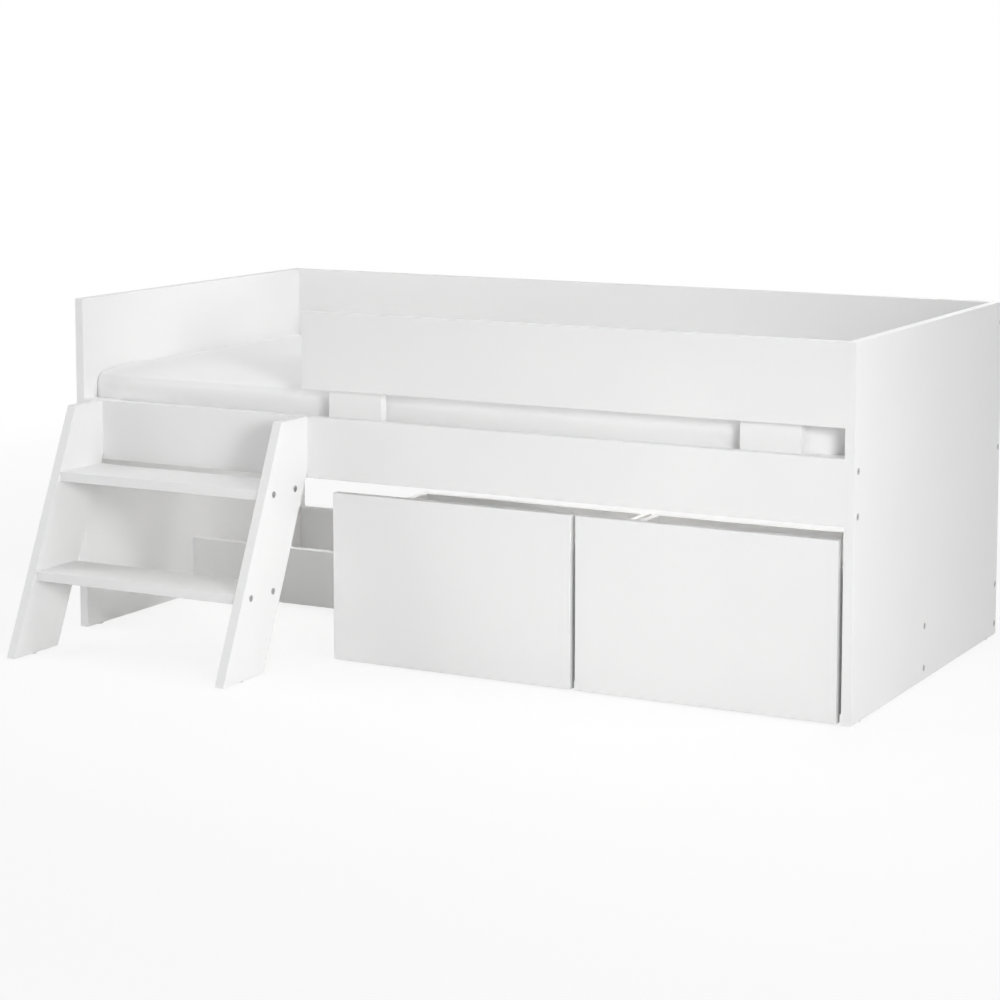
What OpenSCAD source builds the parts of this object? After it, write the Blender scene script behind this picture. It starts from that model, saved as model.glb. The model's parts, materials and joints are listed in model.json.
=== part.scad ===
// Low sleeper bed: a boxy raised single bed in white boards, with a mattress on
// a slatted base, a guard rail, a two-step ladder and two drawers that roll on
// the floor beneath it.
// Millimetres. +X runs to the bed's right end, +Y to its back, +Z up.
// The origin lies on the floor under the middle of the overall footprint,
// which takes in the ladder's feet.

/* [Mattress] */
// Length of the mattress
mattress_length = 1900; // [1800:5:2000]
// Width of the mattress
mattress_width = 900; // [850:5:1000]
// Height of the mattress at its edge
mattress_height = 152; // [120:1:170]
// Rise of the mattress's crown over its edge
mattress_crown = 13; // [4:1:24]
// Distance from an end over which the crown rises
mattress_end_rise = 50; // [30:5:200]
// Distance from a side over which the crown rises
mattress_side_rise = 120; // [60:5:300]
// Depth of the sewn crease behind the mattress's top edge
mattress_crease = 1; // [0:0.25:3]
// Radius of the mattress's upright corners
mattress_corner_r = 16; // [10:1:60]
// Radius of the mattress's top and bottom edges
mattress_edge_r = 14; // [8:1:24]
// How far the mattress's sides draw in between its corners
mattress_draw = 3; // [0:0.5:6]
// Gap between the mattress and the left end panel
mattress_left_gap = 1; // [0.5:0.5:6]
// Gap between the mattress and the right end panel
mattress_right_gap = 15; // [1:0.5:30]
// Gap between the mattress and the boards in front of and behind it
mattress_side_gap = 0.5; // [0.5:0.5:10]

/* [Bed frame] */
// Height of the end panels
panel_height = 791; // [740:1:900]
// Thickness of the frame's boards
board_t = 22; // [18:1:28]
// Flat on each exposed board edge
arris = 0.8; // [0.4:0.1:1.5]
// Thickness of the plastic glides under the frame
glide_h = 3; // [2:0.5:6]

/* [Front rail and back boards] */
// Height of the front rail's lower edge over the foot of the end panels
rail_bottom = 412; // [400:1:440]
// Height of the front rail
rail_height = 140; // [120:1:160]
// Length of the doubled stretch at each end of the front rail
rail_end_length = 80; // [60:1:100]
// Distance from the front rail's lower edge down to the upper back panel's
back_drop = 11; // [0:1:60]
// Height of the lower back board and of the stretcher
lower_height = 140; // [120:1:160]
// Gap between the lower boards and the foot of the end panels
lower_lift = 3; // [1:0.5:8]
// Distance from the front of the bed to the stretcher
stretcher_setback = 440; // [430:1:480]

/* [Guard rail] */
// Width of the entry between the left end panel and the guard rail
entry_width = 614; // [500:1:700]
// Height of the guard rail
guard_height = 176; // [120:1:190]
// Width of each guard post
post_width = 138; // [100:1:160]
// Distance from the guard rail's free end to the left post
post_left_inset = 58; // [20:1:120]
// Distance from the right end panel to the right post
post_right_inset = 102; // [80:1:200]
// Distance from the top of the guard rail to the top of a post
post_top_gap = 30; // [10:1:60]

/* [Slatted base] */
// Width of a slat ledger
ledger_width = 45; // [35:1:60]
// Height of a slat ledger
ledger_height = 30; // [22:1:32]
// Number of slats
slat_count = 14; // [10:1:18]
// Width of a slat
slat_width = 68; // [50:1:80]
// Thickness of a slat
slat_t = 15; // [12:0.5:18]
// Play at each end of a slat
slat_end_play = 2; // [1:0.5:5]
// Width of a slat tape
tape_width = 25; // [15:1:40]
// Thickness of a slat tape
tape_t = 1.2; // [0.8:0.1:2]

/* [Ladder] */
// Distance from the left end panel to the ladder
ladder_inset = 33; // [10:1:60]
// Distance that the ladder's feet stand out from the front of the bed
ladder_reach = 345; // [320:1:380]
// Lean of the ladder from upright, in degrees
ladder_lean = 23.6; // [21:0.1:25]
// Thickness of the ladder's boards
ladder_t = 22; // [18:1:26]
// Width of a stringer's board
stringer_width = 145; // [130:1:160]
// Length of a tread between the stringers
tread_length = 549; // [400:1:560]
// Distance from a stringer's slanted edges to a tread's edges
tread_setback = 7; // [5:0.5:15]
// Height of the upper tread's top over the foot of the ladder
upper_tread_top = 405; // [390:1:440]
// Height of the lower tread's top over the foot of the ladder
lower_tread_top = 188; // [170:1:230]
// Spacing of the two bolts in each end of a tread
tread_bolt_spacing = 88; // [70:1:100]

/* [Drawers] */
// Gap between the ladder and the left drawer
drawer_ladder_gap = 68; // [20:1:100]
// Gap between the two drawers
drawer_gap = 12; // [8:1:20]
// Gap between the right drawer and the right end panel
drawer_side_gap = 11; // [8:1:20]
// Gap between a drawer's back and the stretcher that stops it
drawer_back_gap = 25; // [10:1:60]
// Gap for the fingers between a drawer front and the front rail
finger_gap = 29; // [22:0.5:40]
// Gap between the floor and a drawer front
drawer_floor_gap = 3.5; // [2:0.5:8]
// Thickness of a drawer front
drawer_front_t = 22; // [18:1:24]
// Thickness of a drawer's sides and back
drawer_wall_t = 15; // [12:1:18]
// Drop from the top of a drawer front to the top of its sides and back
drawer_wall_drop = 62; // [40:1:90]
// Thickness of a drawer's bottom
drawer_bottom_t = 12; // [9:1:16]
// Depth of the groove that holds the bottom
groove_depth = 6; // [4:0.5:8]
// Gap between the floor and a drawer's sides
drawer_wall_gap = 18; // [12:1:24]

/* [Castors] */
// Diameter of a castor wheel
wheel_d = 36; // [30:1:40]
// Width of a castor wheel
wheel_width = 14; // [10:1:18]
// Diameter of a castor's axle
axle_d = 5; // [4:0.5:6]
// Thickness of a castor housing's walls
housing_t = 3; // [2:0.5:4]
// Length of a castor housing along the drawer
housing_length = 44; // [40:1:50]
// Distance from the inside of a drawer's side to the middle of a castor
castor_side_inset = 45; // [35:1:70]
// Distance from a drawer's front and back to the middle of a castor
castor_end_inset = 75; // [60:1:110]

/* [Fastenings] */
// Diameter of a bolt's head
bolt_head_d = 14.6; // [12:0.1:16]
// Thickness of a bolt's head
bolt_head_h = 2.6; // [2:0.1:4]
// Depth of a bolt's head below the board's face
bolt_recess = 0.6; // [0.2:0.1:1.5]
// Diameter of a bolt's shank
bolt_d = 5.8; // [5:0.1:6.6]
// Spacing of the bolts in the front rail and the lower boards
bolt_spacing = 94; // [70:1:98]
// Height of the lower bolt over the front rail's lower edge
rail_bolt_low = 19.5; // [16:0.5:26]
// Distance from the upper back panel's edges to its bolts
back_bolt_inset = 47.5; // [30:0.5:80]
// Diameter of a barrel nut
nut_d = 10; // [9:0.5:11]
// Length of a barrel nut
nut_length = 14; // [12:0.5:16]
// Distance from a board's end to its barrel nut
nut_inset = 38; // [30:1:45]
// Diameter of a screw's head
screw_head_d = 8; // [7:0.5:9]
// Diameter of a screw's shank
screw_d = 4; // [3:0.5:5]
// Depth that a screw bites into the second board
screw_bite = 16; // [12:1:17]
// Depth that a ladder screw bites into a stringer
ladder_screw_bite = 38; // [25:1:50]
// Spacing of the two screws in a stringer
ladder_screw_spacing = 42; // [20:1:60]
// Diameter of a wooden dowel
dowel_d = 8; // [6:0.5:10]
// Length of a wooden dowel
dowel_length = 30; // [24:1:34]

/* [Hidden] */

// Smoothness of round pieces
$fn = 48;
// Overshoot of a cut past the face it opens
cut = 1;
// Radial play of a pin, screw or dowel in its hole
hole_play = 0.1;
// Radial play of a bolt's shank in a board
bolt_play = 0.5;
// Radial play of a castor wheel on its axle
axle_play = 0.08;
// Play of a drawer bottom in its groove
groove_play = 0.2;
// Gap between a soft piece and what carries it
soft_gap = 0.3;

// Bounds of the frame, which is built round the mattress
bay_length = mattress_left_gap + mattress_length + mattress_right_gap;
bed_length = bay_length + 2 * board_t;
bed_depth = mattress_width + 2 * mattress_side_gap + 3 * board_t;
x_left = -bed_length / 2;
x_right = bed_length / 2;
inner_left = x_left + board_t;
inner_right = x_right - board_t;
y_front = (ladder_reach - bed_depth) / 2;
y_back = y_front + bed_depth;
y_back_inner = y_back - board_t;
z_foot = glide_h;
z_top = z_foot + panel_height;

// Levels of the boards
z_rail = z_foot + rail_bottom;
z_rail_top = z_rail + rail_height;
z_guard = z_top - guard_height;
z_back = z_rail - back_drop;
back_height = z_top - z_back;
z_lower = z_foot + lower_lift;
y_post = y_front + board_t;
y_mattress = y_post + board_t;
y_stretcher = y_front + stretcher_setback;
z_ledger_top = z_rail + ledger_height;
z_slat_top = z_ledger_top + slat_t;

// Guard rail and its posts
guard_length = bay_length - entry_width;
x_guard = inner_left + entry_width;
x_post_left = x_guard + post_left_inset;
x_post_right = inner_right - post_right_inset - post_width;
z_post_top = z_top - post_top_gap;

// Bolt places on the end panels, as y and z
lower_bolt_low = (lower_height - bolt_spacing) / 2;
rail_bolts = [for (k = [0, 1]) [y_post, z_rail + rail_bolt_low + k * bolt_spacing]];
back_bolts = [
    for (z = [z_back + back_bolt_inset, z_top - back_bolt_inset])
        [y_back - board_t / 2, z]
];
lower_bolts = [
    for (k = [0, 1]) [y_back - board_t / 2, z_lower + lower_bolt_low + k * bolt_spacing]
];
stretcher_bolts = [
    for (k = [0, 1]) [y_stretcher + board_t / 2, z_lower + lower_bolt_low + k * bolt_spacing]
];
panel_bolts = concat(rail_bolts, back_bolts, lower_bolts, stretcher_bolts);
// Depth of the recess that a bolt's head lies in, and its radial play
head_recess = bolt_head_h + bolt_recess;
head_play = 0.4;
// Stretch of a bolt past its barrel nut
bolt_tail = 6;
// Hexagon socket in a bolt's head, across its corners
socket_d = 4.6;
socket_depth = 1.8;
// Screwdriver slot in a barrel nut
slot_width = 1.2;
slot_depth = 1;
// Height of a screw's head
screw_head_h = 2.4;

// Screw places
post_screw_x = post_width / 4;
guard_screw_z = [z_guard + guard_height / 4, z_guard + guard_height / 2];
rail_screw_z = [z_rail_top - rail_height / 2, z_rail_top - rail_height / 5];
ledger_screw_count = 6;
ledger_screw_inset = 60;
guard_dowel_z = [z_guard + guard_height / 4, z_guard + 3 * guard_height / 4];

// Slats
slat_length = y_back_inner - y_mattress - 2 * slat_end_play;
slat_y = y_mattress + slat_end_play;
slat_run = bay_length - 2 * rail_end_length;
slat_pitch = (slat_run - slat_width) / (slat_count - 1);
slat_x = [for (i = [0 : slat_count - 1]) inner_left + rail_end_length + i * slat_pitch];
tape_y = [for (share = [0.25, 0.75]) slat_y + share * slat_length - tape_width / 2];
slat_screw_length = slat_t + screw_bite;

// Ladder, whose side outline is written from the front of the bed, as y and z
lean_run = tan(ladder_lean);
foot_depth = stringer_width / cos(ladder_lean);
knee_z = (ladder_reach - foot_depth) / lean_run;
tread_depth = foot_depth - 2 * tread_setback;
stringer_top = rail_bottom + rail_height;
x_stringer_left = inner_left + ladder_inset;
x_tread = x_stringer_left + ladder_t;
x_stringer_right = x_tread + tread_length;
// Middle of the stringers' depth at a height over their foot
function ladder_middle(z) = y_front - ladder_reach + foot_depth / 2 + z * lean_run;
upper_tread_z = z_foot + upper_tread_top - ladder_t;
lower_tread_z = z_foot + lower_tread_top - ladder_t;
upper_tread_y = ladder_middle(upper_tread_top - ladder_t / 2);
lower_tread_y = ladder_middle(lower_tread_top - ladder_t / 2);
tread_middles = [
    [upper_tread_y, upper_tread_z + ladder_t / 2],
    [lower_tread_y, lower_tread_z + ladder_t / 2],
];
tread_bolt_places = [
    for (m = tread_middles, side = [-1, 1]) [m.x + side * tread_bolt_spacing / 2, m.y]
];
ladder_screw_z = [
    for (side = [-1, 1]) z_rail + rail_height / 2 + side * ladder_screw_spacing / 2
];
ladder_screw_x = [x_stringer_left + ladder_t / 2, x_stringer_right + ladder_t / 2];
// Thickness of the front rail at a place, which is doubled at its ends
function rail_depth(x) = x - screw_head_d < inner_left + rail_end_length ? 2 * board_t : board_t;

// Glides
glide_d = 18;
glide_peg_d = 6;
glide_peg_h = 10;
glide_inset = 60;
glide_places = [
    for (side = [-1, 1], y = [y_front + glide_inset, y_back - glide_inset])
        [side * (x_right - board_t / 2), y],
    for (x = ladder_screw_x) [x, y_front - ladder_reach + foot_depth / 2],
];

// Drawers, with the left side of each one's front at x
x_drawer_left = x_stringer_right + ladder_t + drawer_ladder_gap;
drawer_width = (inner_right - drawer_side_gap - drawer_gap - x_drawer_left) / 2;
x_drawer_right = x_drawer_left + drawer_width + drawer_gap;
drawer_depth = stretcher_setback - drawer_back_gap;
drawer_front_height = z_rail - finger_gap - drawer_floor_gap;
y_drawer_wall = y_front + drawer_front_t;
y_drawer_back = y_front + drawer_depth - drawer_wall_t;
drawer_wall_height = drawer_floor_gap + drawer_front_height - drawer_wall_drop - drawer_wall_gap;
wheel_top_gap = 3;
z_drawer_bottom = wheel_d + wheel_top_gap + housing_t;
drawer_inner_width = drawer_width - 2 * drawer_wall_t;
drawer_inner_depth = y_drawer_back - y_drawer_wall;
drawer_dowel_z = [
    for (share = [0.3, 0.6, 0.9]) drawer_wall_gap + share * drawer_wall_height
];
// Play between a castor wheel and its housing, on each side
wheel_side_play = 0.8;
housing_width = wheel_width + 2 * wheel_side_play + 2 * housing_t;
// Height of a castor housing's lower edge over the floor
housing_foot = 8;
castor_y = [y_front + castor_end_inset, y_front + drawer_depth - castor_end_inset];
castor_x = [drawer_wall_t + castor_side_inset, drawer_width - drawer_wall_t - castor_side_inset];

// Rectangle with its corners cut by the flats c, anticlockwise from the origin
function eased_points(w, h, c) = concat(
    c[0] > 0 ? [[0, c[0]], [c[0], 0]] : [[0, 0]],
    c[1] > 0 ? [[w - c[1], 0], [w, c[1]]] : [[w, 0]],
    c[2] > 0 ? [[w, h - c[2]], [w - c[2], h]] : [[w, h]],
    c[3] > 0 ? [[c[3], h], [0, h - c[3]]] : [[0, h]]
);
all_eased = [arris, arris, arris, arris];

// Board along X, with its thickness along Y
module board_x(x, y, z, length, t, height) {
    translate([x, y, z])
        rotate([90, 0, 90])
            linear_extrude(length)
                polygon(eased_points(t, height, all_eased));
}

// Upright board, with its thickness along Y
module board_z(x, y, z, width, t, height) {
    translate([x, y, z])
        linear_extrude(height)
            polygon(eased_points(width, t, all_eased));
}

// Upright board, with its thickness along X
module board_y(x, y, z, t, depth, height) {
    translate([x, y, z])
        rotate([90, 0, 180])
            translate([-t, 0, 0])
                linear_extrude(depth)
                    polygon(eased_points(t, height, all_eased));
}

// Rod along X, which runs from x towards +X
module rod_x(x, y, z, length, d) {
    translate([x, y, z])
        rotate([0, 90, 0])
            cylinder(h = length, d = d);
}

// Rod along Y, which runs from y towards +Y
module rod_y(x, y, z, length, d) {
    translate([x, y, z])
        rotate([-90, 0, 0])
            cylinder(h = length, d = d);
}

// Rod along Z, which runs from z upwards
module rod_z(x, y, z, length, d) {
    translate([x, y, z])
        cylinder(h = length, d = d);
}

// Bolt along X, with its head's outer face at x and its shank towards +X
module bolt(x, y, z, t) {
    difference() {
        union() {
            rod_x(x, y, z, bolt_head_h, bolt_head_d);
            rod_x(x, y, z, t - bolt_recess + nut_inset + nut_d / 2 + bolt_tail, bolt_d);
        }
        translate([x - cut, y, z])
            rotate([0, 90, 0])
                cylinder(h = socket_depth + cut, d = socket_d, $fn = 6);
    }
}

// Hole for a bolt through a board of thickness t, whose outer face is at x
module bolt_way(x, y, z, t) {
    rod_x(x - cut, y, z, head_recess + cut, bolt_head_d + 2 * head_play);
    rod_x(x - cut, y, z, t + 2 * cut, bolt_d + 2 * bolt_play);
}

// Hole for a bolt into the end of a board
module end_bore(x, y, z) {
    rod_x(x, y, z, nut_inset + nut_d / 2 + bolt_tail + cut, bolt_d + 2 * bolt_play);
}

// Mirrors its children to the bed's other end too
module both_ends() {
    children();
    mirror([1, 0, 0])
        children();
}

// Barrel nut at the origin, along Z, with its thread along X
module barrel_nut() {
    difference() {
        translate([0, 0, -nut_length / 2])
            cylinder(h = nut_length, d = nut_d);
        rod_x(-nut_d, 0, 0, 2 * nut_d, bolt_d + 2 * hole_play);
        translate([-nut_d, -slot_width / 2, -nut_length / 2 - cut])
            cube([2 * nut_d, slot_width, slot_depth + cut]);
    }
}

// Screw along -Z, with its head's top at the origin
module screw(length) {
    rod_z(0, 0, -length, length, screw_d);
    rod_z(0, 0, -screw_head_h, screw_head_h, screw_head_d);
}

// Hole for a screw, open at its head
module screw_hole(length) {
    rod_z(0, 0, -length - hole_play, length, screw_d + 2 * hole_play);
    rod_z(0, 0, -screw_head_h - hole_play, screw_head_h + hole_play + cut, screw_head_d + 2 * hole_play);
}

// The screws of each joint. Each child is drawn with its head's top at the origin.
post_screw_length = board_t + screw_bite;
module at_post_screws() {
    for (x = [x_post_left, x_post_right], side = [1, 3], z = concat(guard_screw_z, rail_screw_z))
        translate([x + side * post_screw_x, y_mattress, z])
            rotate([-90, 0, 0])
                children();
}

ledger_screw_length = ledger_width + screw_bite;
x_ledger = inner_left + rail_end_length;
ledger_length = bay_length - 2 * rail_end_length;
ledger_screw_pitch = (ledger_length - 2 * ledger_screw_inset) / (ledger_screw_count - 1);
module at_front_ledger_screws() {
    for (i = [0 : ledger_screw_count - 1])
        translate([
            x_ledger + ledger_screw_inset + i * ledger_screw_pitch,
            y_post + ledger_width,
            z_rail + ledger_height / 2,
        ])
            rotate([-90, 0, 0])
                children();
}

module at_back_ledger_screws() {
    for (i = [0 : ledger_screw_count - 1])
        translate([
            x_ledger + ledger_screw_inset + i * ledger_screw_pitch,
            y_back_inner - ledger_width,
            z_rail + ledger_height / 2,
        ])
            rotate([90, 0, 0])
                children();
}

module at_slat_screws() {
    for (x = [slat_x[0], slat_x[slat_count - 1]])
        for (y = [slat_y + screw_head_d, slat_y + slat_length - ledger_width / 2])
            translate([x + slat_width / 2, y, z_slat_top])
                children();
}

// Draws each ladder screw, or its hole, with its head in the rail's back
module each_ladder_screw(hole) {
    for (x = ladder_screw_x, z = ladder_screw_z)
        translate([x, y_front + rail_depth(x), z])
            rotate([-90, 0, 0])
                if (hole)
                    screw_hole(rail_depth(x) + ladder_screw_bite);
                else
                    screw(rail_depth(x) + ladder_screw_bite);
}

// One end panel, whose left face is at x and whose outer edges are eased
module end_panel(x) {
    left = x < 0;
    difference() {
        intersection() {
            translate([x, y_front, z_foot])
                linear_extrude(panel_height)
                    polygon(eased_points(
                        board_t, bed_depth, left ? [arris, 0, 0, arris] : [0, arris, arris, 0]
                    ));
            translate([x, y_back, z_foot])
                rotate([90, 0, 0])
                    linear_extrude(bed_depth)
                        polygon(eased_points(board_t, panel_height, all_eased));
        }
        for (p = panel_bolts)
            mirror([left ? 0 : 1, 0, 0])
                bolt_way(x_left, p.x, p.y, board_t);
        if (!left)
            for (z = guard_dowel_z)
                rod_x(
                    inner_right - cut, y_front + board_t / 2, z, dowel_length / 2 + cut,
                    dowel_d + 2 * hole_play
                );
        at_glides()
            glide_hole();
    }
}

module end_panel_left() {
    color("whitesmoke")
        end_panel(x_left);
}

module end_panel_right() {
    color("whitesmoke")
        end_panel(inner_right);
}

// Cross hole for a barrel nut, which opens to a board's back face at y
module cross_hole(p, face_y) {
    rod_y(
        inner_left + nut_inset, p.x - nut_length / 2 - hole_play, p.y,
        face_y - p.x + nut_length / 2 + hole_play + cut, nut_d + 2 * hole_play
    );
}

// Front rail, whose ends are doubled in thickness for the bolts
module front_rail() {
    color("whitesmoke")
        difference() {
            union() {
                board_x(inner_left, y_front, z_rail, bay_length, board_t, rail_height);
                both_ends()
                    board_x(inner_left, y_front, z_rail, rail_end_length, 2 * board_t, rail_height);
            }
            both_ends()
                for (p = rail_bolts) {
                    end_bore(inner_left - cut, p.x, p.y);
                    cross_hole(p, y_mattress);
                }
            at_post_screws()
                screw_hole(post_screw_length);
            at_front_ledger_screws()
                screw_hole(ledger_screw_length);
            each_ladder_screw(true);
        }
}

module guard_rail() {
    color("whitesmoke")
        difference() {
            board_x(x_guard, y_front, z_guard, guard_length, board_t, guard_height);
            at_post_screws()
                screw_hole(post_screw_length);
            for (z = guard_dowel_z)
                rod_x(
                    inner_right - dowel_length / 2 - hole_play, y_front + board_t / 2, z,
                    dowel_length / 2 + hole_play + cut, dowel_d + 2 * hole_play
                );
        }
}

// One upright behind the guard rail, which stands on the front ledger
module guard_post(x) {
    color("whitesmoke")
        difference() {
            board_z(x, y_post, z_ledger_top, post_width, board_t, z_post_top - z_ledger_top);
            at_post_screws()
                screw_hole(post_screw_length);
        }
}

module back_panel_upper() {
    color("whitesmoke")
        difference() {
            board_x(inner_left, y_back_inner, z_back, bay_length, board_t, back_height);
            both_ends()
                for (p = back_bolts) {
                    end_bore(inner_left - cut, p.x, p.y);
                    cross_hole(p, y_back);
                }
            at_back_ledger_screws()
                screw_hole(ledger_screw_length);
        }
}

module back_board_lower() {
    color("whitesmoke")
        difference() {
            board_x(inner_left, y_back_inner, z_lower, bay_length, board_t, lower_height);
            both_ends()
                for (p = lower_bolts) {
                    end_bore(inner_left - cut, p.x, p.y);
                    cross_hole(p, y_back);
                }
        }
}

module mid_stretcher() {
    color("whitesmoke")
        difference() {
            board_x(inner_left, y_stretcher, z_lower, bay_length, board_t, lower_height);
            both_ends()
                for (p = stretcher_bolts) {
                    end_bore(inner_left - cut, p.x, p.y);
                    cross_hole(p, y_stretcher + board_t);
                }
        }
}

module slat_ledger_front() {
    color("burlywood")
        difference() {
            board_x(x_ledger, y_post, z_rail, ledger_length, ledger_width, ledger_height);
            at_front_ledger_screws()
                screw_hole(ledger_screw_length);
            at_slat_screws()
                screw_hole(slat_screw_length);
        }
}

module slat_ledger_back() {
    color("burlywood")
        difference() {
            board_x(
                x_ledger, y_back_inner - ledger_width, z_rail, ledger_length, ledger_width,
                ledger_height
            );
            at_back_ledger_screws()
                screw_hole(ledger_screw_length);
            at_slat_screws()
                screw_hole(slat_screw_length);
        }
}

module slats() {
    color("burlywood")
        difference() {
            for (x = slat_x)
                board_y(x, slat_y, z_ledger_top, slat_width, slat_length, slat_t);
            at_slat_screws()
                screw_hole(slat_screw_length);
        }
}

module slat_tapes() {
    color("white")
        for (y = tape_y)
            translate([slat_x[0], y, z_ledger_top - tape_t])
                cube([slat_run, tape_width, tape_t]);
}

// Mattress outline at an inset, anticlockwise as x and y, with its sides drawn in
// and its corners opening out towards the crown
corner_steps = 3;
corner_spread = 0.2;
long_steps = 8;
short_steps = 6;
function outline(inset) =
    let (
        a = mattress_length / 2 - inset,
        b = mattress_width / 2 - inset,
        r = min(mattress_corner_r + corner_spread * inset, b / 2),
        arc = function(middle, start) [
            for (k = [0 : corner_steps])
                let (angle = start + 90 * k / corner_steps)
                middle + r * [cos(angle), sin(angle)]
        ],
        side = function(from, to, n, inward) [
            for (k = [1 : n - 1])
                let (share = (1 - cos(180 * k / n)) / 2)
                from + share * (to - from) + mattress_draw * sin(180 * share) * inward
        ]
    )
    concat(
        arc([a - r, -b + r], -90), side([a, -b + r], [a, b - r], short_steps, [-1, 0]),
        arc([a - r, b - r], 0), side([a - r, b], [-a + r, b], long_steps, [0, -1]),
        arc([-a + r, b - r], 90), side([-a, b - r], [-a, -b + r], short_steps, [1, 0]),
        arc([-a + r, -b + r], 180), side([-a + r, -b], [a - r, -b], long_steps, [0, 1])
    );

// Height of the mattress's top at a place, which rises fast from its sewn edges
function rise(share) = 1 - pow(1 - min(share, 1), 2);
function top_z(p) = mattress_height
    + mattress_crown
        * rise((mattress_length / 2 - abs(p.x)) / mattress_end_rise)
        * rise((mattress_width / 2 - abs(p.y)) / mattress_side_rise);

// Outlines of the underside's edge, as inset and height, and of the top, as inset
// and height over top_z: the edge, the crease behind it and the crown
edge_steps = 3;
crease_gap = 4;
crown_steps = 7;
crown_reach = 0.95;
function edge_angle(k) = 90 * k / edge_steps;
crease_inset = mattress_edge_r + crease_gap;
foot_rings = [
    for (k = [0 : edge_steps])
        mattress_edge_r * [1 - sin(edge_angle(k)), 1 - cos(edge_angle(k))]
];
head_rings = concat(
    [for (k = [0 : edge_steps]) mattress_edge_r * [1 - cos(edge_angle(k)), sin(edge_angle(k)) - 1]],
    [[crease_inset, -mattress_crease]],
    [for (k = [1 : crown_steps])
        [crease_inset + pow(crown_reach * k / crown_steps, 2) * (mattress_width / 2 - crease_inset), 0]]
);
ring_size = len(outline(0));
ring_count = len(foot_rings) + len(head_rings);
mattress_points = concat(
    [for (ring = foot_rings, p = outline(ring[0])) [p.x, p.y, ring[1]]],
    [for (ring = head_rings, p = outline(ring[0])) [p.x, p.y, top_z(p) + ring[1]]],
    [[0, 0, 0], [0, 0, top_z([0, 0])]]
);
// Faces between the rings, as indices, which close on a middle point at each end
function wrapped(k) = (k + 1) % ring_size;
last_ring = (ring_count - 1) * ring_size;
under_middle = ring_count * ring_size;
top_middle = under_middle + 1;
mattress_faces = concat(
    [for (k = [0 : ring_size - 1]) [under_middle, k, wrapped(k)]],
    [for (i = [0 : ring_count - 2], k = [0 : ring_size - 1], half = [0, 1])
        half == 0
            ? [i * ring_size + k, (i + 1) * ring_size + k, (i + 1) * ring_size + wrapped(k)]
            : [i * ring_size + k, (i + 1) * ring_size + wrapped(k), i * ring_size + wrapped(k)]],
    [for (k = [0 : ring_size - 1]) [top_middle, last_ring + wrapped(k), last_ring + k]]
);
x_mattress = inner_left + mattress_left_gap + mattress_length / 2;

module mattress() {
    color("white")
        translate([x_mattress, (y_mattress + y_back_inner) / 2, z_slat_top + soft_gap])
            polyhedron(points = mattress_points, faces = mattress_faces);
}

// One stringer, whose left face is at x and whose outer face takes the bolts' heads
module ladder_stringer(x, head_left) {
    color("whitesmoke")
        difference() {
            translate([x, y_front, z_foot])
                rotate([90, 0, 90])
                    linear_extrude(ladder_t)
                        polygon([
                            [-ladder_reach, 0],
                            [-ladder_reach + foot_depth, 0],
                            [0, knee_z],
                            [0, stringer_top],
                            [-ladder_reach + stringer_top * lean_run, stringer_top],
                        ]);
            for (p = tread_bolt_places)
                translate([x + ladder_t / 2, 0, 0])
                    mirror([head_left ? 0 : 1, 0, 0])
                        bolt_way(-ladder_t / 2, p.x, p.y, ladder_t);
            each_ladder_screw(true);
            at_glides()
                glide_hole();
        }
}

// One tread, whose middle is at y
module ladder_tread(y, z) {
    color("whitesmoke")
        difference() {
            board_x(x_tread, y - tread_depth / 2, z, tread_length, tread_depth, ladder_t);
            translate([x_tread + tread_length / 2, y, z + ladder_t / 2])
                both_ends()
                    for (side = [-1, 1])
                        translate([-tread_length / 2, side * tread_bolt_spacing / 2, 0]) {
                            end_bore(-cut, 0, 0);
                            rod_z(
                                nut_inset, 0, -ladder_t / 2 - cut,
                                ladder_t / 2 + cut + nut_length / 2 + hole_play, nut_d + 2 * hole_play
                            );
                        }
        }
}

module frame_bolts() {
    color("darkgray")
        both_ends()
            for (p = panel_bolts)
                bolt(x_left + bolt_recess, p.x, p.y, board_t);
}

module frame_barrel_nuts() {
    color("silver")
        both_ends()
            for (p = panel_bolts)
                translate([inner_left + nut_inset, p.x, p.y])
                    rotate([90, 0, 0])
                        barrel_nut();
}

module guard_dowels() {
    color("tan")
        for (z = guard_dowel_z)
            rod_x(inner_right - dowel_length / 2, y_front + board_t / 2, z, dowel_length, dowel_d);
}

module post_screws() {
    color("silver")
        at_post_screws()
            screw(post_screw_length);
}

module ledger_screws() {
    color("silver") {
        at_front_ledger_screws()
            screw(ledger_screw_length);
        at_back_ledger_screws()
            screw(ledger_screw_length);
    }
}

module slat_screws() {
    color("silver")
        at_slat_screws()
            screw(slat_screw_length);
}

module at_tread_ends() {
    translate([x_tread + tread_length / 2, 0, 0])
        both_ends()
            for (p = tread_bolt_places)
                translate([-tread_length / 2, p.x, p.y])
                    children();
}

module tread_bolts() {
    color("darkgray")
        at_tread_ends()
            bolt(-ladder_t + bolt_recess, 0, 0, ladder_t);
}

module tread_barrel_nuts() {
    color("silver")
        at_tread_ends()
            translate([nut_inset, 0, 0])
                barrel_nut();
}

module ladder_screws() {
    color("silver")
        each_ladder_screw(false);
}

module at_glides() {
    for (p = glide_places)
        translate([p.x, p.y, 0])
            children();
}

module glide_hole() {
    rod_z(0, 0, glide_h - cut, glide_peg_h + cut + hole_play, glide_peg_d + 2 * hole_play);
}

module floor_glides() {
    color("gainsboro")
        at_glides() {
            rod_z(0, 0, 0, glide_h, glide_d);
            rod_z(0, 0, 0, glide_h + glide_peg_h, glide_peg_d);
        }
}

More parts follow.
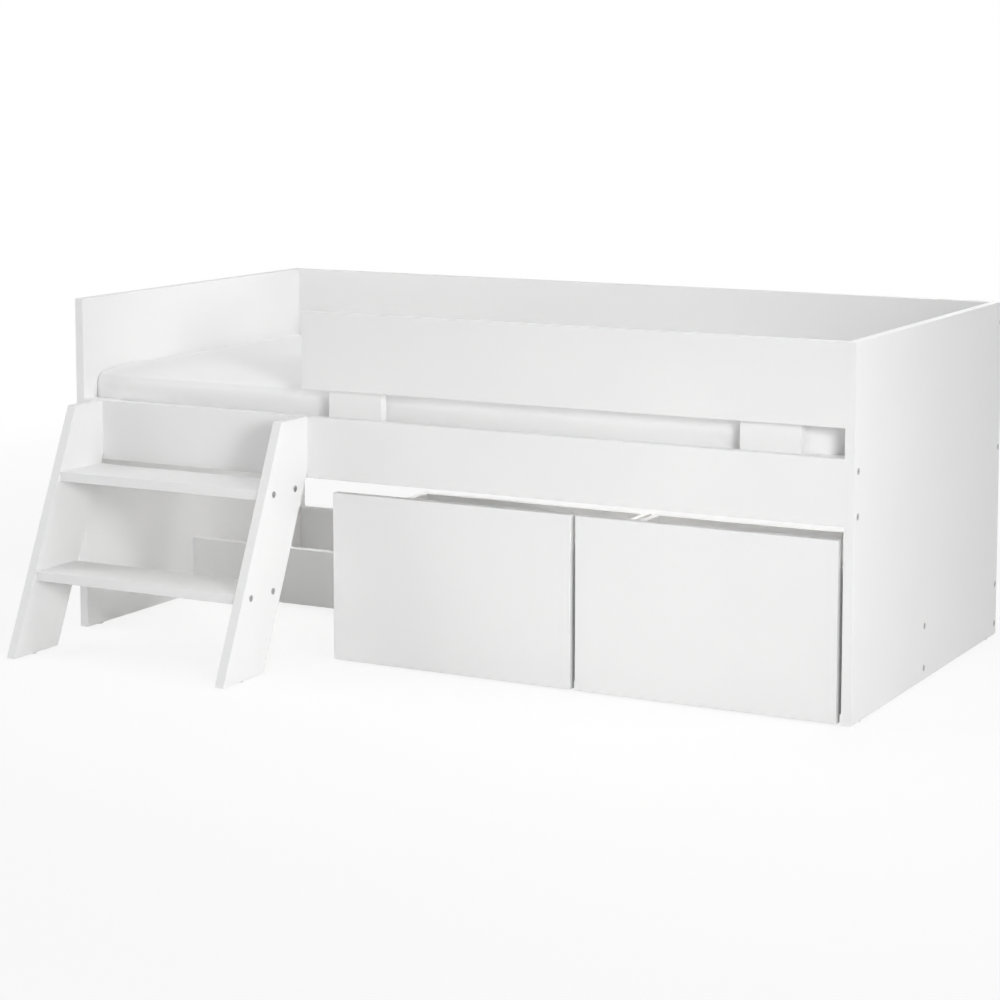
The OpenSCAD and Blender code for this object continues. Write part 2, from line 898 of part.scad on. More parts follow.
// The space that a drawer's bottom takes, grown by some play
module bottom_space(x, play) {
    reach = groove_depth - groove_play + play;
    translate([x + drawer_wall_t - reach, y_drawer_wall - reach, z_drawer_bottom - play])
        cube([drawer_inner_width + 2 * reach, drawer_inner_depth + 2 * reach, drawer_bottom_t + 2 * play]);
}

// Places of the dowels between a drawer's front and its sides
module at_drawer_dowels(x) {
    for (side = [drawer_wall_t / 2, drawer_width - drawer_wall_t / 2], z = drawer_dowel_z)
        translate([x + side, y_drawer_wall, z])
            rotate([-90, 0, 0])
                children();
}

drawer_dowel_d = dowel_d * 0.75;
// Length of a drawer dowel in the front
drawer_dowel_front = drawer_front_t / 2;
drawer_dowel_length = drawer_dowel_front + dowel_length / 2;

module drawer_dowel_hole() {
    rod_z(
        0, 0, -drawer_dowel_front - hole_play, drawer_dowel_length + 2 * hole_play,
        drawer_dowel_d + 2 * hole_play
    );
}

// Places of the screws that hold a drawer's back between its sides
drawer_screw_length = drawer_wall_t + screw_bite;
module at_drawer_screws(x) {
    for (z = drawer_dowel_z) {
        translate([x, y_drawer_back + drawer_wall_t / 2, z])
            rotate([0, -90, 0])
                children();
        translate([x + drawer_width, y_drawer_back + drawer_wall_t / 2, z])
            rotate([0, 90, 0])
                children();
    }
}

module drawer_front(x) {
    color("whitesmoke")
        difference() {
            intersection() {
                board_x(x, y_front, drawer_floor_gap, drawer_width, drawer_front_t, drawer_front_height);
                board_z(x, y_front, drawer_floor_gap, drawer_width, drawer_front_t, drawer_front_height);
            }
            bottom_space(x, groove_play);
            at_drawer_dowels(x)
                drawer_dowel_hole();
        }
}

// One side of a drawer, whose left face lies at the given distance from x
module drawer_side(x, offset_x) {
    color("whitesmoke")
        difference() {
            board_y(
                x + offset_x, y_drawer_wall, drawer_wall_gap, drawer_wall_t,
                drawer_depth - drawer_front_t, drawer_wall_height
            );
            bottom_space(x, groove_play);
            at_drawer_dowels(x)
                drawer_dowel_hole();
            at_drawer_screws(x)
                screw_hole(drawer_screw_length);
        }
}

module drawer_back(x) {
    color("whitesmoke")
        difference() {
            board_x(
                x + drawer_wall_t, y_drawer_back, drawer_wall_gap, drawer_inner_width, drawer_wall_t,
                drawer_wall_height
            );
            bottom_space(x, groove_play);
            at_drawer_screws(x)
                screw_hole(drawer_screw_length);
        }
}

module drawer_bottom(x) {
    color("whitesmoke")
        bottom_space(x, 0);
}

module drawer_dowels(x) {
    color("tan")
        at_drawer_dowels(x)
            rod_z(0, 0, -drawer_dowel_front, drawer_dowel_length, drawer_dowel_d);
}

module drawer_screws(x) {
    color("silver")
        at_drawer_screws(x)
            screw(drawer_screw_length);
}

// Castor housings under a drawer's bottom, each with two cheeks round its wheel
module castor_housings(x) {
    color("dimgray")
        for (cx = castor_x, cy = castor_y)
            translate([x + cx, cy, 0])
                difference() {
                    translate([-housing_width / 2, -housing_length / 2, housing_foot])
                        cube([housing_width, housing_length, z_drawer_bottom - housing_foot]);
                    translate([-housing_width / 2 + housing_t, -housing_length, housing_foot - cut])
                        cube([
                            housing_width - 2 * housing_t, 2 * housing_length,
                            z_drawer_bottom - housing_t - housing_foot + cut,
                        ]);
                    rod_x(-housing_width, 0, wheel_d / 2, 2 * housing_width, axle_d + 2 * hole_play);
                }
}

module castor_axles(x) {
    color("silver")
        for (cx = castor_x, cy = castor_y)
            rod_x(x + cx - housing_width / 2, cy, wheel_d / 2, housing_width, axle_d);
}

// One castor wheel with a rounded tread
tread_round = 1.5;
module castor_wheel(x, i, j) {
    r = wheel_d / 2;
    half = wheel_width / 2;
    color("gray")
        translate([x + castor_x[i], castor_y[j], r])
            rotate([0, 90, 0])
                rotate_extrude()
                    polygon([
                        [axle_d / 2 + axle_play, -half],
                        [r - tread_round, -half],
                        [r, -half + tread_round],
                        [r, half - tread_round],
                        [r - tread_round, half],
                        [axle_d / 2 + axle_play, half],
                    ]);
}

end_panel_left();
end_panel_right();
front_rail();
guard_rail();
guard_post(x_post_left);  // guard_post_left
guard_post(x_post_right);  // guard_post_right
back_panel_upper();
back_board_lower();
mid_stretcher();
slat_ledger_front();
slat_ledger_back();
slats();
slat_tapes();
mattress();
ladder_stringer(x_stringer_left, true);  // ladder_stringer_left
ladder_stringer(x_stringer_right, false);  // ladder_stringer_right
ladder_tread(upper_tread_y, upper_tread_z);  // ladder_tread_upper
ladder_tread(lower_tread_y, lower_tread_z);  // ladder_tread_lower
frame_bolts();
frame_barrel_nuts();
guard_dowels();
post_screws();
ledger_screws();
slat_screws();
tread_bolts();
tread_barrel_nuts();
ladder_screws();
floor_glides();

drawer_front(x_drawer_left);  // drawer_left_front
drawer_side(x_drawer_left, 0);  // drawer_left_side_left
drawer_side(x_drawer_left, drawer_width - drawer_wall_t);  // drawer_left_side_right
drawer_back(x_drawer_left);  // drawer_left_back
drawer_bottom(x_drawer_left);  // drawer_left_bottom
drawer_dowels(x_drawer_left);  // drawer_left_dowels
drawer_screws(x_drawer_left);  // drawer_left_screws
castor_housings(x_drawer_left);  // drawer_left_castor_housings
castor_axles(x_drawer_left);  // drawer_left_castor_axles
castor_wheel(x_drawer_left, 0, 0);  // drawer_left_wheel_front_left
castor_wheel(x_drawer_left, 1, 0);  // drawer_left_wheel_front_right
castor_wheel(x_drawer_left, 0, 1);  // drawer_left_wheel_back_left
castor_wheel(x_drawer_left, 1, 1);  // drawer_left_wheel_back_right

drawer_front(x_drawer_right);  // drawer_right_front
drawer_side(x_drawer_right, 0);  // drawer_right_side_left
drawer_side(x_drawer_right, drawer_width - drawer_wall_t);  // drawer_right_side_right
drawer_back(x_drawer_right);  // drawer_right_back
drawer_bottom(x_drawer_right);  // drawer_right_bottom
drawer_dowels(x_drawer_right);  // drawer_right_dowels
drawer_screws(x_drawer_right);  // drawer_right_screws
castor_housings(x_drawer_right);  // drawer_right_castor_housings
castor_axles(x_drawer_right);  // drawer_right_castor_axles
castor_wheel(x_drawer_right, 0, 0);  // drawer_right_wheel_front_left
castor_wheel(x_drawer_right, 1, 0);  // drawer_right_wheel_front_right
castor_wheel(x_drawer_right, 0, 1);  // drawer_right_wheel_back_left
castor_wheel(x_drawer_right, 1, 1);  // drawer_right_wheel_back_right
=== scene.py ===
"""Looks of the low sleeper bed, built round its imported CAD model, in metres."""
import json
import math

import bmesh
import bpy
import numpy as np
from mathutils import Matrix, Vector


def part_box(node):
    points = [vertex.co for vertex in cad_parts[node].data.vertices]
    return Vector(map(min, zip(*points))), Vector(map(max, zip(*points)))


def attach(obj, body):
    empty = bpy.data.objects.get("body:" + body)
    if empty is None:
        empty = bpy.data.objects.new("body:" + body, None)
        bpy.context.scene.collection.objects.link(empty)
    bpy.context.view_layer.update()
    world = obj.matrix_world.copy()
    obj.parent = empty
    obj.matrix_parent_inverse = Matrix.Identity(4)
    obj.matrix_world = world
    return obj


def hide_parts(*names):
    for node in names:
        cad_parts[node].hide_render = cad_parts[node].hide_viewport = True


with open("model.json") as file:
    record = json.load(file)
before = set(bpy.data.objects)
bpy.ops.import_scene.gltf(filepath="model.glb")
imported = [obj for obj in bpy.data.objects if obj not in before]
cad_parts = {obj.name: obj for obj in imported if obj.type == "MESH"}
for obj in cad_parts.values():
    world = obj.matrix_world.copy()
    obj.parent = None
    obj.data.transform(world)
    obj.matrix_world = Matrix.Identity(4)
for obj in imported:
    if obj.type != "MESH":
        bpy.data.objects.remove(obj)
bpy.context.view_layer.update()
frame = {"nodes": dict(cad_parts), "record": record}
scene = bpy.context.scene

# Camera, whose place and lens come from the bed's vanishing lines in the photograph
CAMERA_PLACE = (2.7948, -5.2032, 1.3835)
CAMERA_YAW = 28.265
CAMERA_DIP = 6.225
CAMERA_LENS = 93.0
CAMERA_SHIFT = -0.17

# Strength of the sky, and each lamp's name, place, aim, width, height, watts and
# spread in degrees, which a grid narrows on the lamps that mustn't spill
WORLD_LIGHT = 0.30
LAMPS = (
    ("top", (0.0, 0.2, 4.0), (0.0, 0.2, 0.4), 3.0, 2.0, 28.0, 180),
    ("left_low", (-3.67, -2.28, 0.96), (0.1, 0.0, 0.35), 1.8, 1.4, 20.0, 180),
    ("left_high", (-3.16, -1.29, 3.06), (0.1, 0.0, 0.35), 1.8, 1.4, 25.0, 180),
    ("right_high", (3.55, 0.2, 3.06), (0.1, 0.0, 0.35), 1.8, 1.4, 34.0, 180),
    ("front_high", (0.1, -3.57, 3.06), (0.1, 0.0, 0.35), 1.8, 1.4, 2.5, 180),
    ("key", (2.7, -2.5, 1.3), (-0.65, -0.35, 0.45), 1.0, 1.0, 5.5, 55),
    ("right", (2.6, -2.2, 1.3), (0.98, -0.3, 0.38), 0.8, 0.8, 1.9, 50),
    ("over_guard", (1.75, -0.35, 1.28), (-0.96, 0.28, 0.70), 0.4, 0.4, 0.19, 24),
    ("behind", (0.1, 4.26, 0.96), (0.1, 0.0, 0.35), 1.8, 1.4, 34.0, 180),
    ("under_left", (-0.5, 1.3, 0.03), (-0.5, 0.645, 0.275), 0.7, 0.08, 1.5, 14),
    ("under_right", (0.42, 1.3, 0.03), (0.42, 0.645, 0.275), 0.8, 0.08, 4.6, 14),
)

# Floor, a round sheet whose light on the bed is a plain diffuse bounce, and whose seen
# colour goes from a share of plain white to all of it between two distances from the bed
FLOOR_RADIUS = 40.0
FLOOR_SIDES = 96
FLOOR_BOUNCE = 0.97
FLOOR_LIFT = 0.8
FLOOR_FADE = (1.6, 4.0)
WHITE = (1.0, 1.0, 1.0, 1.0)

# Mattress's size: voxel of its even remesh, growth of its halves, shift to the left, gap
# from the left end panel, and how far it may pass its node at the three high sides
MATTRESS_VOXEL = 0.010
MATTRESS_GROW = (0.008, -0.001, -0.001)
MATTRESS_SHIFT = -0.005
MATTRESS_CLEAR = 0.0003
MATTRESS_SLACK = (0.007, 0.0, 0.01)

# Mattress's cloth: its settings, its frames, and the furthest that a point may move
CLOTH_SETTINGS = {
    "quality": 4,
    "mass": 0.3,
    "tension_stiffness": 40,
    "compression_stiffness": 40,
    "shear_stiffness": 20,
    "bending_stiffness": 4,
    "use_pressure": True,
    "uniform_pressure_force": 4.0,
}
CLOTH_FRAMES = 14
CLOTH_CAP = 0.005
NO_MOVE = 1e-9

# Mattress's seam: its depth, and the upward part of the cover's normal where it runs,
# with its spread
SEAM_DEPTH = 0.003
SEAM_TILT = 0.35
SEAM_SPREAD = 0.2

# Dimple by the guard rail's free end: its place from that end, the mattress's front and
# the mattress's underside, its reach and its depth
DIMPLE_PLACE = (-0.045, 0.012, 0.158)
DIMPLE_REACH = 0.017
DIMPLE_DEPTH = 0.016

# Colours, as linear red, green and blue
BOARD_PLAIN = (0.87, 0.87, 0.87)
BOARD_CLOUD = (0.885, 0.885, 0.883)
BOARD_RUBBED = (0.84, 0.84, 0.838)
PINE_LIGHT = (0.88, 0.87, 0.85)
PINE_DARK = (0.83, 0.815, 0.785)
DOWEL_LIGHT = (0.55, 0.36, 0.19)
DOWEL_DARK = (0.40, 0.24, 0.12)
COVER_PLAIN = (0.955, 0.955, 0.955)
COVER_CLOUD = (0.965, 0.965, 0.963)
# Painted shade: the darker cover colour put into the hollows of the mattress cover's knit
COVER_HOLLOW_SHADE = (0.90, 0.90, 0.90)
# Painted shade: the darker tape colour put into the hollows of the tape's weave
TAPE_HOLLOW_SHADE = (0.55, 0.55, 0.52)
TAPE_THREAD = (0.72, 0.72, 0.70)
BOLT_BRIGHT = (0.50, 0.50, 0.51)
BOLT_WORN = (0.42, 0.42, 0.42)
ZINC_BRIGHT = (0.62, 0.62, 0.60)
ZINC_WORN = (0.44, 0.44, 0.41)
GLIDE_GREY = (0.60, 0.60, 0.59)
CASTOR_BLACK = (0.014, 0.014, 0.016)
WHEEL_GREY = (0.085, 0.085, 0.09)

# Stretch of a wood's noise on each axis, lowest along its grain
GRAIN_BACKWARD = (2.5, 0.12, 2.5)
GRAIN_SIDEWAYS = (0.12, 2.5, 2.5)
DOWEL_GRAIN = (0.3, 3, 3)

# Longest part of a normal that counts as an eased edge, between two faces of a board
EASED_LIMIT = 0.86

# The Mix node's sockets for colours, which share their names with its other sockets
MIX_FIRST = 6
MIX_SECOND = 7
MIX_RESULT = 2


class Nodes:
    """A material's node tree, with one short call per kind of node."""

    def __init__(self, name):
        self.material = bpy.data.materials.new(name)
        self.material.use_nodes = True
        self.tree = self.material.node_tree
        self.shader = self.tree.nodes["Principled BSDF"]

    def add(self, kind, values=None, **settings):
        """A node of a kind, with its sockets linked or set by values."""
        node = self.tree.nodes.new(kind)
        for key, value in settings.items():
            setattr(node, key, value)
        for key, value in (values or {}).items():
            self.feed(node.inputs[key], value)
        return node

    def feed(self, socket, value):
        """Links a socket to another one, or sets it to a plain value."""
        if isinstance(value, bpy.types.NodeSocket):
            self.tree.links.new(value, socket)
        else:
            socket.default_value = value

    def place(self, stretch=(1, 1, 1)):
        """Coordinates along the bed's own axes, in metres, stretched on each axis."""
        where = self.add("ShaderNodeTexCoord").outputs["Object"]
        values = {"Vector": where, "Scale": stretch}
        return self.add("ShaderNodeMapping", values).outputs["Vector"]

    def noise(self, scale, detail=2.0, rough=0.5, where=None):
        values = {"Scale": scale, "Detail": detail, "Roughness": rough}
        values["Vector"] = where or self.place()
        return self.add("ShaderNodeTexNoise", values).outputs["Fac"]

    def ramp(self, fac, low, high, start=0.35, end=0.65):
        """Spreads fac from start..end to low..high."""
        values = dict(enumerate((fac, start, end, low, high)))
        return self.add("ShaderNodeMapRange", values).outputs[0]

    def blend(self, fac, first, second):
        """A colour between two, each of which is a colour or a socket."""
        values = {0: fac, MIX_FIRST: with_alpha(first), MIX_SECOND: with_alpha(second)}
        return self.add("ShaderNodeMix", values, data_type="RGBA").outputs[MIX_RESULT]

    def maths(self, how, first, second):
        return self.add("ShaderNodeMath", {0: first, 1: second}, operation=how).outputs[0]

    def bump(self, height, strength, depth, under=None):
        """Relief of a height, on top of the relief under it."""
        values = {"Height": height, "Strength": strength, "Distance": depth}
        if under:
            values["Normal"] = under
        return self.add("ShaderNodeBump", values).outputs["Normal"]

    def eased_edge(self):
        """1 on the small flats along a board's edges and 0 on its faces."""
        normal = self.add("ShaderNodeNewGeometry").outputs["True Normal"]
        size = self.add("ShaderNodeVectorMath", {0: normal}, operation="ABSOLUTE").outputs[0]
        parts = self.add("ShaderNodeSeparateXYZ", {0: size}).outputs
        longest = self.maths("MAXIMUM", self.maths("MAXIMUM", parts[0], parts[1]), parts[2])
        return self.maths("LESS_THAN", longest, EASED_LIMIT)

    def finish(self, **sockets):
        """Feeds the shader's sockets and gives back the material."""
        for key, value in sockets.items():
            self.feed(self.shader.inputs[key.replace("_", " ")], value)
        return self.material


def with_alpha(colour):
    return (*colour, 1) if isinstance(colour, tuple) else colour


def white_board():
    """Satin white faced board: a faint pearl grain, slight clouding and rubbed edges."""
    n = Nodes("white_board")
    clouds = n.ramp(n.noise(scale=3.0, detail=3.0), low=0.0, high=1.0)
    colour = n.blend(clouds, BOARD_PLAIN, BOARD_CLOUD)
    patches = n.ramp(n.noise(scale=60.0, detail=4.0), low=0.7, high=1.0)
    rubbed = n.maths("MULTIPLY", n.eased_edge(), patches)
    colour = n.blend(rubbed, colour, BOARD_RUBBED)
    pearl = n.noise(scale=1400.0)
    peel = n.bump(n.noise(scale=260.0, detail=1.0), strength=0.06, depth=0.0004)
    relief = n.bump(pearl, strength=0.10, depth=0.0002, under=peel)
    gloss = n.ramp(n.noise(scale=40.0, detail=4.0), low=0.46, high=0.56)
    return n.finish(Base_Color=colour, Roughness=gloss, Normal=relief, Specular_IOR_Level=0.35)


def planed_wood(name, light, dark, grain):
    """Planed softwood with long grain, whose noise is stretched by grain on each axis."""
    n = Nodes(name)
    where = n.place(grain)
    rings = n.noise(scale=55.0, detail=5.0, rough=0.62, where=where)
    fibres = n.noise(scale=495.0, detail=3.0, where=where)
    colour = n.blend(n.ramp(rings, low=0.0, high=1.0, start=0.38, end=0.62), light, dark)
    colour = n.blend(n.ramp(fibres, low=0.0, high=0.25), colour, dark)
    relief = n.bump(rings, strength=0.2, depth=0.0006)
    relief = n.bump(fibres, strength=0.25, depth=0.0003, under=relief)
    gloss = n.ramp(fibres, low=0.55, high=0.75)
    return n.finish(Base_Color=colour, Roughness=gloss, Normal=relief)


def weave(n, scale, strength, depth):
    """Crossed waves for a knit or woven cloth, as height and as relief."""
    lanes = []
    for stretch in ((1, 0.35, 1), (0.35, 1, 1)):
        values = {"Vector": n.place(stretch), "Scale": scale, "Distortion": 1.2, "Detail": 2.0,
                  "Detail Scale": 3.0}
        wave = n.add("ShaderNodeTexWave", values, bands_direction="DIAGONAL")
        lanes.append(wave.outputs["Fac"])
    height = n.maths("MULTIPLY", *lanes)
    return height, n.bump(height, strength, depth)


def knitted_cover():
    """White knitted mattress ticking with a soft nap, and painted shade darkening the knit's
    hollows.
    """
    n = Nodes("mattress_cover")
    height, relief = weave(n, scale=180.0, strength=0.25, depth=0.0008)
    clouds = n.ramp(n.noise(scale=5.0, detail=3.0), low=0.0, high=1.0)
    colour = n.blend(clouds, COVER_PLAIN, COVER_CLOUD)
    # Painted shade: the colour darkens where the knit is low, standing in for shade in its
    # hollows
    hollow_shade = n.ramp(height, low=0.14, high=0.0, start=0.0, end=0.5)
    colour = n.blend(hollow_shade, colour, COVER_HOLLOW_SHADE)
    waves = n.noise(scale=22.0, detail=3.0)
    soft = n.bump(waves, strength=0.08, depth=0.004, under=relief)
    return n.finish(Base_Color=colour, Roughness=0.9, Normal=soft, Sheen_Weight=0.25,
                    Sheen_Roughness=0.5, Specular_IOR_Level=0.25)


def woven_tape():
    """Off-white polyester tape, with painted shade darkening its weave's hollows."""
    n = Nodes("slat_tape")
    height, relief = weave(n, scale=420.0, strength=0.5, depth=0.0005)
    # Painted shade: the weave's hollows get the darker colour and its tops the thread colour,
    # standing in for shade in the hollows
    colour = n.blend(height, TAPE_HOLLOW_SHADE, TAPE_THREAD)
    return n.finish(Base_Color=colour, Roughness=0.85, Normal=relief, Specular_IOR_Level=0.3)


def steel(name, bright, worn, rough):
    """Plated steel with fine turning marks and a little tarnish."""
    n = Nodes(name)
    tarnish = n.noise(scale=220.0, detail=4.0)
    tarnish = n.ramp(tarnish, low=0.0, high=1.0, start=0.45, end=0.75)
    turned = n.noise(scale=900.0, where=n.place((1, 4, 4)))
    colour = n.blend(tarnish, bright, worn)
    gloss = n.maths("ADD", n.ramp(turned, low=-0.05, high=0.08), rough)
    relief = n.bump(turned, strength=0.15, depth=0.0001)
    return n.finish(Base_Color=colour, Roughness=gloss, Metallic=1.0, Normal=relief)


def moulded(name, plain, rough, grain):
    """Moulded plastic with a fine spark-eroded grain and slight scuffs."""
    n = Nodes(name)
    scuffs = n.noise(scale=120.0, detail=5.0, rough=0.6)
    scuffs = n.ramp(scuffs, low=0.0, high=1.0, start=0.5, end=0.75)
    colour = n.blend(scuffs, plain, tuple(min(1.0, part * 1.25 + 0.01) for part in plain))
    relief = n.bump(n.noise(scale=grain), strength=0.25, depth=0.0002)
    gloss = n.ramp(scuffs, low=rough, high=rough + 0.12, start=0.0, end=1.0)
    return n.finish(Base_Color=colour, Roughness=gloss, Normal=relief)


def make_materials():
    """One material per slot of the record."""
    return {
        "white_board": white_board(),
        "pine": planed_wood("pine", PINE_LIGHT, PINE_DARK, GRAIN_BACKWARD),
        "dowel_wood": planed_wood("dowel_wood", DOWEL_LIGHT, DOWEL_DARK, DOWEL_GRAIN),
        "slat_tape": woven_tape(),
        "mattress_cover": knitted_cover(),
        "bolt_steel": steel("bolt_steel", BOLT_BRIGHT, BOLT_WORN, rough=0.42),
        "zinc_steel": steel("zinc_steel", ZINC_BRIGHT, ZINC_WORN, rough=0.30),
        "glide_plastic": moulded("glide_plastic", GLIDE_GREY, rough=0.45, grain=1500.0),
        "castor_plastic": moulded("castor_plastic", CASTOR_BLACK, rough=0.50, grain=1800.0),
        "wheel_plastic": moulded("wheel_plastic", WHEEL_GREY, rough=0.38, grain=1200.0),
    }


def cover_with(mesh, material):
    mesh.materials.clear()
    mesh.materials.append(material)


def dress_nodes(materials):
    """Gives each CAD node the material of its slot, with the ledgers' grain along them."""
    ledger_pine = planed_wood("pine_ledger", PINE_LIGHT, PINE_DARK, GRAIN_SIDEWAYS)
    for part in frame["record"]["subparts"]:
        ledger = part["node"].startswith("slat_ledger")
        material = ledger_pine if ledger else materials[part["material_slot"]]
        cover_with(frame["nodes"][part["node"]].data, material)


def smooth(mesh):
    for face in mesh.polygons:
        face.use_smooth = True


def points_of(mesh):
    flat = np.zeros(len(mesh.vertices) * 3, np.float32)
    mesh.vertices.foreach_get("co", flat)
    return flat.reshape(-1, 3).astype(float)


def set_points(mesh, points):
    mesh.vertices.foreach_set("co", points.astype(np.float32).ravel())
    mesh.update()


def apply_modifiers(thing):
    """Gives a piece the mesh that its modifiers make, and takes them off."""
    graph = bpy.context.evaluated_depsgraph_get()
    graph.update()
    mesh = bpy.data.meshes.new_from_object(thing.evaluated_get(graph))
    thing.modifiers.clear()
    thing.data = mesh


def mattress_solid():
    """A copy of the mattress node's mesh, remeshed into even faces and fitted to its bay."""
    node = frame["nodes"]["mattress"]
    thing = bpy.data.objects.new("mattress_pad", node.data.copy())
    scene.collection.objects.link(thing)
    remesh = thing.modifiers.new("remesh", "REMESH")
    remesh.mode = "VOXEL"
    remesh.voxel_size = MATTRESS_VOXEL
    apply_modifiers(thing)
    low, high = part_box("mattress")
    middle = (low + high) / 2
    half = (high - low) / 2
    aside = Vector((MATTRESS_SHIFT, 0, 0))
    for vertex in thing.data.vertices:
        offset = vertex.co - middle
        for axis in range(3):
            offset[axis] *= 1 + MATTRESS_GROW[axis] / half[axis]
        vertex.co = middle + offset + aside
    return thing


def swell(thing):
    """Inflates the mattress as cloth and keeps each point within a cap of where it was."""
    rest = points_of(thing.data)
    cloth = thing.modifiers.new("cloth", "CLOTH")
    for name, value in CLOTH_SETTINGS.items():
        setattr(cloth.settings, name, value)
    cloth.settings.effector_weights.gravity = 0
    cloth.collision_settings.use_collision = False
    cloth.point_cache.frame_start = 1
    cloth.point_cache.frame_end = CLOTH_FRAMES
    for step in range(1, CLOTH_FRAMES + 1):
        scene.frame_set(step)
    graph = bpy.context.evaluated_depsgraph_get()
    swollen = points_of(thing.evaluated_get(graph).data)
    thing.modifiers.clear()
    scene.frame_set(1)
    move = swollen - rest
    size = np.maximum(np.linalg.norm(move, axis=1), NO_MOVE)
    move *= (CLOTH_CAP * np.tanh(size / CLOTH_CAP) / size)[:, None]
    set_points(thing.data, rest + move)


def normals_of(mesh):
    return np.array([vertex.normal for vertex in mesh.vertices])


def bell(distance):
    """1 at no distance, falling off smoothly to 0 beyond 2."""
    return np.exp(-distance ** 2)


def press_in(thing, depth):
    """Presses each point in along its normal, by its own depth."""
    set_points(thing.data, points_of(thing.data) - normals_of(thing.data) * depth[:, None])


def seam_depth(thing):
    """A soft groove below the rounded top edge, where the cover is sewn."""
    tilt = normals_of(thing.data)[:, 2]
    return SEAM_DEPTH * bell((tilt - SEAM_TILT) / SEAM_SPREAD)


def dimple_depth(thing):
    """A dimple in the front edge, where the cover is drawn in by the guard rail's free end."""
    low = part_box("mattress")[0]
    start = Vector((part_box("guard_rail")[0].x, low.y, low.z))
    offset = points_of(thing.data) - np.array(start + Vector(DIMPLE_PLACE))
    return DIMPLE_DEPTH * bell(np.linalg.norm(offset, axis=1) / DIMPLE_REACH)


def keep_in_bay(thing):
    """Keeps the mattress off the slats and the boards, with slack at its high sides."""
    low, high = (np.array(corner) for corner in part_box("mattress"))
    low[0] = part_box("end_panel_left")[1].x + MATTRESS_CLEAR
    set_points(thing.data, np.clip(points_of(thing.data), low, high + np.array(MATTRESS_SLACK)))


def make_mattress(materials):
    """A soft mattress in place of the mattress node's plain solid."""
    thing = mattress_solid()
    swell(thing)
    press_in(thing, seam_depth(thing))
    keep_in_bay(thing)
    rounder = thing.modifiers.new("smooth", "SUBSURF")
    rounder.levels = rounder.render_levels = 1
    apply_modifiers(thing)
    press_in(thing, dimple_depth(thing))
    smooth(thing.data)
    cover_with(thing.data, materials["mattress_cover"])
    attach(thing, "bed")
    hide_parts("mattress")


def make_camera():
    data = bpy.data.cameras.new("camera")
    data.lens = CAMERA_LENS
    data.shift_y = CAMERA_SHIFT
    camera = bpy.data.objects.new("camera", data)
    camera.location = CAMERA_PLACE
    camera.rotation_euler = (math.radians(90 - CAMERA_DIP), 0, math.radians(CAMERA_YAW))
    scene.collection.objects.link(camera)
    scene.camera = camera


def area_light(name, place, aim, width, height, watts, spread):
    """A rectangular lamp that the camera doesn't see."""
    data = bpy.data.lights.new(name, "AREA")
    data.shape = "RECTANGLE"
    data.size = width
    data.size_y = height
    data.energy = watts
    data.spread = math.radians(spread)
    lamp = bpy.data.objects.new(name, data)
    lamp.location = place
    lamp.rotation_euler = (Vector(aim) - Vector(place)).to_track_quat("-Z", "Y").to_euler()
    lamp.visible_camera = False
    scene.collection.objects.link(lamp)


def seen_directly(tree):
    """1 on camera, glossy and transmission rays and 0 on the rays that carry light."""
    path = tree.nodes.new("ShaderNodeLightPath").outputs
    total = path["Is Camera Ray"]
    for ray in ("Is Glossy Ray", "Is Transmission Ray"):
        node = tree.nodes.new("ShaderNodeMath")
        node.operation = "MAXIMUM"
        tree.links.new(total, node.inputs[0])
        tree.links.new(path[ray], node.inputs[1])
        total = node.outputs[0]
    return total


def glowing(node, strength):
    """Sets a background or emission shader to white light of some strength."""
    node.inputs["Color"].default_value = WHITE
    node.inputs["Strength"].default_value = strength
    return node.outputs[0]


def mix_shaders(tree, fac, first, second):
    node = tree.nodes.new("ShaderNodeMixShader")
    for socket, source in zip(node.inputs, (fac, first, second)):
        tree.links.new(source, socket)
    return node.outputs[0]


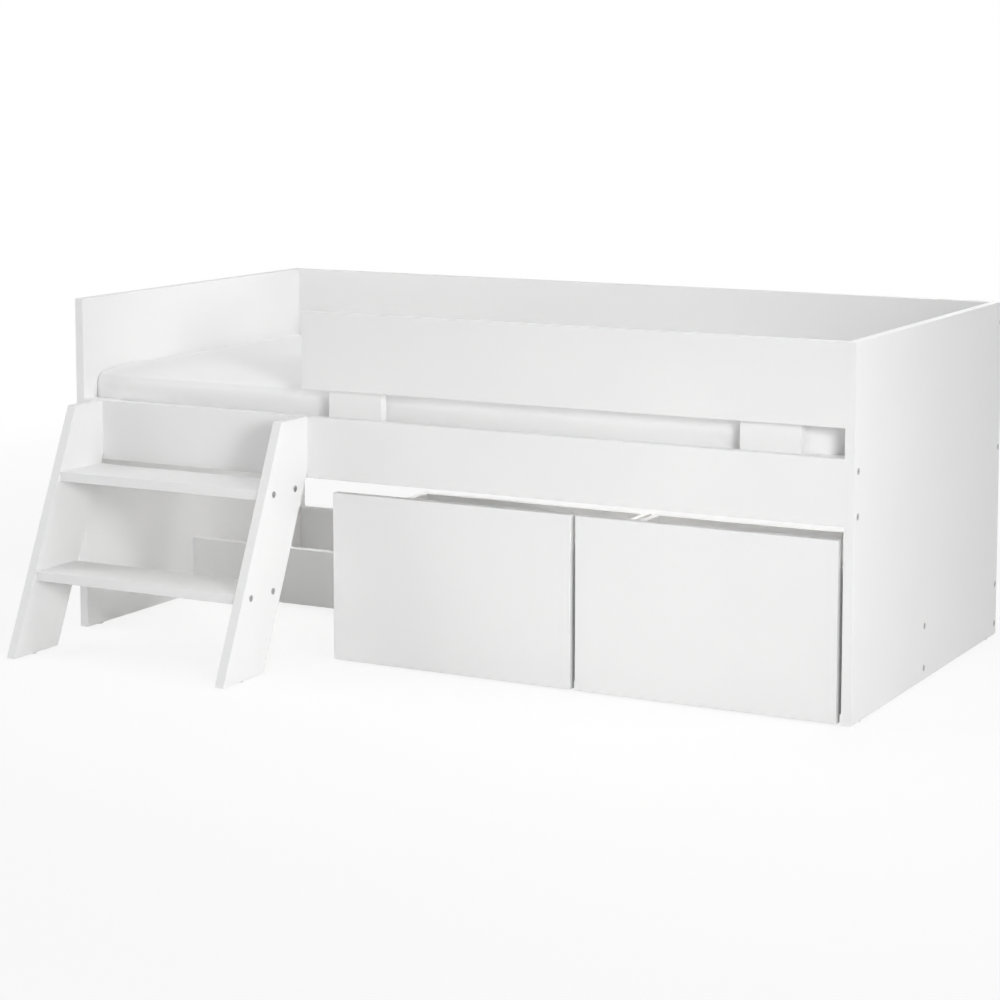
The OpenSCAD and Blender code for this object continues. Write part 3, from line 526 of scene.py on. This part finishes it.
def make_world():
    """White where it is seen, and a soft grey where it lights the bed."""
    world = bpy.data.worlds.new("studio")
    world.use_nodes = True
    tree = world.node_tree
    lit = glowing(tree.nodes["Background"], WORLD_LIGHT)
    white = glowing(tree.nodes.new("ShaderNodeBackground"), 1.0)
    mixed = mix_shaders(tree, seen_directly(tree), lit, white)
    tree.links.new(mixed, tree.nodes["World Output"].inputs["Surface"])
    scene.world = world


def floor_lift(tree):
    """Share of plain white in the floor's seen colour, which grows away from the bed."""
    place = tree.nodes.new("ShaderNodeNewGeometry").outputs["Position"]
    away = tree.nodes.new("ShaderNodeVectorMath")
    away.operation = "LENGTH"
    tree.links.new(place, away.inputs[0])
    lift = tree.nodes.new("ShaderNodeMapRange")
    for slot, value in enumerate((*FLOOR_FADE, FLOOR_LIFT, 1.0), 1):
        lift.inputs[slot].default_value = value
    tree.links.new(away.outputs["Value"], lift.inputs[0])
    return lift.outputs[0]


def floor_sheet():
    mesh = bpy.data.meshes.new("floor")
    form = bmesh.new()
    bmesh.ops.create_circle(form, cap_ends=True, radius=FLOOR_RADIUS, segments=FLOOR_SIDES)
    form.to_mesh(mesh)
    form.free()
    return mesh


def floor_material():
    """White where it is seen, with the bed's shadow, and a matt bounce where it gives light."""
    material = bpy.data.materials.new("studio_floor")
    material.use_nodes = True
    tree = material.node_tree
    bounce = tree.nodes["Principled BSDF"]
    bounce.inputs["Base Color"].default_value = (*[FLOOR_BOUNCE] * 3, 1)
    bounce.inputs["Roughness"].default_value = 1.0
    bounce.inputs["Specular IOR Level"].default_value = 0.0
    shaded = tree.nodes.new("ShaderNodeBsdfDiffuse")
    shaded.inputs["Color"].default_value = WHITE
    white = glowing(tree.nodes.new("ShaderNodeEmission"), 1.0)
    pale = mix_shaders(tree, floor_lift(tree), shaded.outputs[0], white)
    shown = mix_shaders(tree, seen_directly(tree), bounce.outputs[0], pale)
    tree.links.new(shown, tree.nodes["Material Output"].inputs["Surface"])
    return material


def make_floor():
    mesh = floor_sheet()
    floor = bpy.data.objects.new("floor", mesh)
    scene.collection.objects.link(floor)
    mesh.materials.append(floor_material())


make_camera()
make_world()
for lamp in LAMPS:
    area_light(*lamp)
make_floor()
slot_materials = make_materials()
dress_nodes(slot_materials)
make_mattress(slot_materials)
scene.view_settings.view_transform = "Standard"
